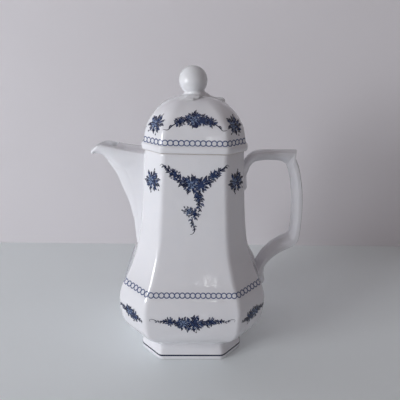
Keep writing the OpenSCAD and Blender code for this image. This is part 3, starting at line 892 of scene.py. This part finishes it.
def draw_branch(on, points, long, wide, step, grow=(1.0, 0.6), spread=0.85, tip=True):
    "a stem with leaves on both sides, from its root to its tip"
    line = draw_stroke(on, points, 0.7, 0.5)
    d = np.gradient(line, axis=0)
    run = np.concatenate([[0], np.cumsum(np.hypot(*np.diff(line, axis=0).T))])
    for k, at in enumerate(np.arange(step * 0.5, run[-1], step)):
        x, y, dx, dy = (np.interp(at, run, row) for row in (*line.T, *d.T))
        size, side = grow[0] + (grow[1] - grow[0]) * at / run[-1], 1 if k % 2 else -1
        for s2, more in ((side, 1.0), (-side, 0.7)):
            angle = math.atan2(dy, dx) + s2 * (spread + 0.12 * math.sin(5 * k))
            tone = "cobalt" if (k + (s2 > 0)) % 3 == 0 else "navy"
            draw_leaf(on, x, y, angle, long * size * more, wide * size * more, tone)
    if tip:
        draw_leaf(on, *line[-1], math.atan2(d[-1, 1], d[-1, 0]), long * grow[1], wide * grow[1] * 0.8)


# %% A bunch of leaves with a flower
def draw_posy(on, a, height, wide, high, turn, flower=None, buds=(), bloom=0.42):
    "a bunch: pointed leaves all round a dark middle, and often a flower a little off that middle"
    v = surfaces[on[0]].at(height)
    size = math.hypot(wide, high) / math.sqrt(2)
    count = 11 if size < 5 else 17
    # for each ring of leaves: how many, where they start, how long and how thick they are
    rings = (count, 0.56, 0.43, 0.24), (count - 3, 0.3, 0.46, 0.26), (count - 6, 0.1, 0.38, 0.26)
    for ring, (n, start, reach, thick) in enumerate(rings):
        for k in range(n):
            g = turn + 2 * math.pi * (k + 0.5 * ring) / n + 0.2 * math.sin(3.1 * k + ring)
            ca, sa = math.cos(g) * wide, math.sin(g) * high
            long = reach * (1 + 0.3 * math.sin(2.3 * k + 1.7 + turn)) * math.hypot(ca, sa)
            angle = math.atan2(sa, ca) + 0.3 * math.sin(1.9 * k + ring)
            tone = "cobalt" if (k + ring) % 4 == 2 else "navy"
            draw_leaf(on, a + start * ca, v + start * sa, angle, long, thick * size, tone)
            if (k + 2 * ring) % 5 == 1:
                draw_leaf(on, a + 0.5 * ca, v + 0.5 * sa, g + 0.8, 0.22 * size, 0.09 * size, "pale")
    dark = films[on[0], "navy"]
    dark.blob(on[1], (a, v), 0.3 * wide, 0.3 * high, turn, 16, 0.115, 0.16)
    for g in buds:
        stem = [(a + r * wide * math.cos(g + t), v + r * high * math.sin(g + t)) for r, t in
                ((0.5, 0), (0.85, 0.12), (1.12, 0))]
        draw_stroke(on, stem, 0.5)
        dark.blob(on[1], stem[-1], 0.75, 0.55, g, 8, 0.12)
    if flower:
        draw_flower(on, a + flower[0] * wide, v + flower[1] * high, bloom * size, "pale", 7, turn)
    else:
        draw_flower(on, a, v, 0.4 * size, "cobalt", 5, turn)


# %% The swag on the neck
def neck_swag(face):
    on, z = ("pot", face), surfaces["pot"].at
    for side in (-1, 1):
        draw_branch(on, path(on, side, (3, 160.5), (8, 162.8), (14.5, 167.5), (20, 172)), 4.6, 2.2, 1.9,
                    (1.15, 0.8))
        draw_stroke(on, path(on, side, (19, 171.2), (22, 174), (24.4, 175.8), (26.2, 174.2)), 0.9)
        draw_leaf(on, side * 21, z(173.2), math.pi / 2 - side * 0.9, 3.0, 1.4)
        draw_leaf(on, side * 22.6, z(174.6), -math.pi / 2 + side * 0.9, 2.8, 1.3)
        draw_posy(on, side * 14.6, 167.8, 4.6, 4.6, 0.5)
        draw_leaf(on, side * 10, z(163), -math.pi / 2 + side * 0.5, 5.2, 1.9)
    draw_posy(on, 4.6, 160.4, 6.6, 6.4, 0.3)
    draw_posy(on, -2.2, 160.4, 7.6, 7.4, 0.1, (0, 0), (), 0.46)
    for g, long in ((1.75, 6.2), (1.2, 5.2), (0.7, 4.8)):
        draw_leaf(on, -1.4, z(163), g, long, 2.1)
    draw_branch(on, path(on, 1, (1.4, 155.5), (3.2, 151.5), (4.6, 146.5), (3.6, 141.5)), 4.2, 1.8, 1.8,
                (1.25, 0.9), 0.9, False)
    draw_posy(on, 3.0, 151, 3.8, 4.2, 0.9)
    draw_posy(on, 0.8, 137.4, 4.6, 5.0, 0.6)
    draw_posy(on, -3.8, 139.4, 4.8, 4.4, 0.2, (0, 0), (2.9, 2.3), 0.5)
    draw_branch(on, path(on, 1, (-1.0, 134), (-1.8, 130.6), (0.2, 127.2), (0.7, 125)), 3.2, 1.3, 2.0,
                (1.1, 0.75), 0.8, False)
    draw_stroke(on, path(on, 1, (0.4, 127), (0.8, 124.2), (-0.7, 121.6), (-2.8, 121.0)), 0.95)


def neck_sprig(face):
    draw_posy(("pot", face), 0, 161.3, 8.8, 8.4, 0.25, (-0.22, -0.02), (1.35, 5.6, 4.6))


# %% The garland on the belly
def belly_garland(face):
    on, z = ("pot", face), surfaces["pot"].at
    for side in (-1, 1):
        draw_branch(on, path(on, side, (5, 51.5), (10, 51.6), (17, 53.2), (23, 54)), 3.9, 1.9, 1.8,
                    (1.2, 0.75))
        draw_posy(on, side * 16.4 - 1.6, 53.6, 4.6, 4.8, 0.3)
        draw_branch(on, path(on, side, (21, 53.8), (25, 53.4), (28.5, 53.8)), 2.8, 1.2, 2.1, (1, 0.7))
        draw_stroke(on, path(on, side, (28, 53.8), (31, 55.6), (33.8, 55.4), (33.4, 53.4)), 0.6)
    draw_posy(on, 1.6, 51.6, 7.6, 8.4, 0.5, None, (4.9,))
    draw_posy(on, -7.2, 51.6, 6.6, 7.0, 0.2, (0, 0), (), 0.5)
    draw_leaf(on, -2.5, z(47), -1.8, 5.2, 1.7)
    draw_leaf(on, 11.6, z(50.6), -0.9, 4.4, 1.4)


def belly_sprig(face, side):
    on = ("pot", face)
    draw_branch(on, path(on, side, (-4, 53), (-9, 53.8), (-14.4, 54.6)), 4.0, 2.0, 1.8, (1.2, 0.65))
    draw_branch(on, path(on, side, (4, 52.6), (8, 52.2), (12.2, 52)), 3.6, 1.8, 1.8, (1.2, 0.65))
    draw_posy(on, side * 3.2, 52.6, 5.8, 6.4, 0.4, None, (4.4,))
    draw_posy(on, -side * 3, 53.2, 6.2, 6.6, 0.1, (0, 0), (), 0.46)


# %% The garland and the sprigs on the lid
def lid_garland(face):
    on, z = ("lid", face), surfaces["lid"].at
    for side in (-1, 1):
        draw_branch(on, path(on, side, (4, 208.4), (8, 208), (12, 206.6), (14.4, 205.4)), 3.6, 1.9, 1.8,
                    (1.2, 0.9), 0.9, False)
        draw_posy(on, side * 11.4, 206.6, 4.4, 4.4, 0.4 * side)
        draw_stroke(on, path(on, side, (13.6, 205.8), (17.2, 203.4), (20, 201), (23.4, 201.2)), 0.95)
        draw_leaf(on, side * 16.4, z(204.2), -math.pi / 2 + side * 0.9, 3.6, 1.5)
    draw_posy(on, 5, 208.2, 5.6, 5.2, 0.1)
    draw_posy(on, -1.2, 208.0, 6.6, 6.2, 0.3, (0, 0), (), 0.5)
    for g, long in ((1.35, 6.0), (0.9, 4.4), (2.1, 4.2)):
        draw_leaf(on, -0.4, z(210.4), g, long, 1.9)
    films["lid", "navy"].blob(face, (0.4, z(204)), 1.9, 1.6, 0, 14, 0.1, 0.1)


def lid_sprig(face):
    draw_posy(("lid", face), 0, 204.3, 8.0, 7.4, 0.5, (-0.22, -0.04), (1.2, 4.0, 5.0), 0.44)


for front in (0, 4):
    neck_swag(front)
    belly_garland(front)
for broad in (0, 2, 4, 6):
    lid_garland(broad)
for slant in (1, 3, 5, 7):
    neck_sprig(slant)
    belly_sprig(slant, 1 if slant in (7, 3) else -1)
    lid_sprig(slant)
print("shapes so far:", {k: len(f.shapes) for k, f in films.items()})


# %% The borders of linked rings
RING_PITCH, RING_OUTER, RING_INNER = 4.14, 2.45, 1.62


def ring_border(where, z):
    "rings all round at one height, each linked with the next"
    surface, film, total = surfaces[where], films[where, "smoke"], 0
    half = float(np.interp(z, surface.rows[:, 0], surface.rows[:, 1]))
    for face in range(8):
        flat = half * (SLANT if face % 2 else SHARE) + EDGE * (math.pi / 8 - TURN_IN)
        count = max(1, round(2 * flat / RING_PITCH))
        for k in range(count):
            centre = (-flat + (k + 0.5) * 2 * flat / count, surface.at(z))
            film.ring(face, centre, RING_OUTER, RING_INNER, TONES["smoke"][2] + 0.02 * (k % 2))
        total += count
    return total


print("rings on the belly:", ring_border("pot", 74.5))
print("rings on the lid:", ring_border("lid", 191.8))

# %% Lay the films
for (where, tone), film in films.items():
    film.mesh("print_%s_%s" % (where, tone), where, blues[tone])

# %% The line round the foot
# height and distance off the glaze
FOOT_LINE = [(4.7, 0.0), (4.9, 0.06), (5.3, 0.09), (5.9, 0.09), (6.1, 0.06), (6.3, 0.0)]
foot_line_rings = [level(z, float(np.interp(z, *foot_outside.T)) + lift) for z, lift in FOOT_LINE]
foot_line = soften(skin("print_foot_line", foot_line_rings, ends=False), 60)
foot_line.data.materials.append(blues["navy"])
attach(foot_line, "pot")
print("foot line faces:", len(foot_line.data.polygons))

# %% [markdown]
# The stage
#
# The pot stands on a pale table with a plain lilac-grey wall a hand's breadth behind it. Both are
# single planes with a faint grain, marked as stage, so they are not part of the pot. The wall
# would hide the pot from a viewer behind it, so its back lets the view through, and the table
# runs on below it.

# %% Table and wall
def seen_straight(tree):
    "one for what the camera or a reflection sees, nought for the light that falls on things"
    rays = node(tree, "ShaderNodeLightPath").outputs
    return sums(tree, "MAXIMUM", rays["Is Camera Ray"], rays["Is Glossy Ray"])


def plain(name, colour, rough, glow, one_sided=False):
    "a plain finish with a faint grain; the glow lifts only what the camera or a reflection sees"
    m = bpy.data.materials.new(name)
    m.use_nodes = True
    t = m.node_tree
    shader = t.nodes["Principled BSDF"]
    tint = blend(t, noise(t, 9, 2.0), (*colour, 1), (*[v * 0.97 for v in colour], 1))
    feed(t, shader, {"Base Color": tint, "Roughness": rough, "Emission Color": tint,
                     "Emission Strength": sums(t, "MULTIPLY", seen_straight(t), glow)})
    if one_sided:
        back, clear = node(t, "ShaderNodeNewGeometry"), node(t, "ShaderNodeBsdfTransparent")
        choose = node(t, "ShaderNodeMixShader", {0: back.outputs["Backfacing"], 1: shader.outputs[0],
                                                 2: clear.outputs[0]})
        feed(t, t.nodes["Material Output"], {"Surface": choose.outputs[0]})
    return m


def sheet(name, corners, material):
    "a single plane of the stage"
    piece = put(name, corners, [(0, 1, 2, 3)])
    piece.data.materials.append(material)


FAR, BEHIND = 3000, 186  # how far the stage runs, and how far behind the pot's axis the wall is
sheet("stage_table", [(-FAR, -FAR, -0.05), (FAR, -FAR, -0.05), (FAR, FAR, -0.05), (-FAR, FAR, -0.05)],
      plain("table_white", (0.84, 0.885, 0.90), 0.75, 0.05))
sheet("stage_wall", [(-FAR, BEHIND, -400), (FAR, BEHIND, -400), (FAR, BEHIND, 2500), (-FAR, BEHIND, 2500)],
      plain("wall_lilac", (0.68, 0.66, 0.69), 0.85, 0.08, True))

# %% [markdown]
# The light
#
# In the photograph one large window stands low to the left. It lights the left slanted face, the
# table and the wall, and fades toward the right. A dim room fills the rest: it is darker above
# than level with the pot, so the top of the lid is greyer than the neck. One small pane far off
# in front gives the short glints on the lid and the neck.

# %% Lamps
def window(name, place, aim, size, power, colour=(1, 1, 1)):
    "a rectangular lamp of a size in millimetres that looks from its place at its aim"
    lamp = bpy.data.lights.new(name, "AREA")
    lamp.shape, lamp.size, lamp.size_y = "RECTANGLE", size[0] * MM, size[1] * MM
    lamp.energy, lamp.color = power, colour
    o = bpy.data.objects.new(name, lamp)
    bpy.context.scene.collection.objects.link(o)
    o.location = [c * MM for c in place]
    o.rotation_mode = "QUATERNION"
    o.rotation_quaternion = (Vector(aim) - Vector(place)).to_track_quat("-Z", "Y")


for k, (aside, height) in enumerate(((-1, 290), (1, 290), (-1, 720), (1, 720))):
    place = (-1830 - 98 * aside, -1035 + 180 * aside, height)
    window("window_pane_%d" % k, place, (0, 40, 110), (350, 390), 7.2, (0.955, 0.975, 1.0))
window("ceiling", (-200, -100, 1500), (0, 0, 0), (1500, 1500), 1.3, (1.0, 0.97, 0.98))
window("pane_far", (140, -1520, 420), (10, 0, 130), (42, 210), 0.2)

# %% A dim room, pale where the camera or a reflection sees it
world = bpy.data.worlds.new("room")
bpy.context.scene.world = world
world.use_nodes = True
t = world.node_tree
up = node(t, "ShaderNodeSeparateXYZ", {0: node(t, "ShaderNodeTexCoord").outputs["Generated"]}).outputs["Z"]
# the light of the room at the horizon and overhead
fade = node(t, "ShaderNodeMapRange", {"Value": up, "To Min": 0.24, "To Max": 0.08})
dim, seen = t.nodes["Background"], node(t, "ShaderNodeBackground", {0: (0.95, 0.93, 0.97, 1), 1: 0.4})
feed(t, dim, {0: (1.0, 0.87, 0.88, 1), 1: fade.outputs[0]})
choose = node(t, "ShaderNodeMixShader", {0: seen_straight(t), 1: dim.outputs[0], 2: seen.outputs[0]})
feed(t, t.nodes["World Output"], {0: choose.outputs[0]})
print("room nodes:", len(t.nodes))

# %% [markdown]
# The camera
#
# Its place was worked out from the photograph: the pot's edges, levels and slants fit a camera 31
# cm in front of the axis and 25 cm above the table. It looks 19.5 degrees down and is turned by 1.3
# degrees about its line of sight, and all of that is turned by 1.8 degrees about the pot's axis.

# %% Camera
IN_FRONT, ABOVE, ASIDE = 313.53, 245.43, 5.73
FOCAL = 380.0  # in pixels of a picture 400 wide
pitch, roll, yaw = math.radians(19.5), math.radians(1.32), math.radians(1.78)
camera = bpy.data.objects.new("camera", bpy.data.cameras.new("camera"))
bpy.context.scene.collection.objects.link(camera)
stand = Matrix.Rotation(-yaw, 4, "Z") @ Matrix.Translation(Vector((ASIDE, -IN_FRONT, ABOVE)) * MM)
camera.matrix_world = stand @ Matrix.Rotation(math.pi / 2 - pitch, 4, "X") @ Matrix.Rotation(roll, 4, "Z")
camera.data.sensor_width, camera.data.lens = 36, 36 * FOCAL / 400
camera.data.clip_start, camera.data.clip_end = 0.01, 20
bpy.context.scene.camera = camera
bpy.context.scene.view_settings.view_transform = "Standard"
print("camera at", [round(v * 1000, 1) for v in camera.location])
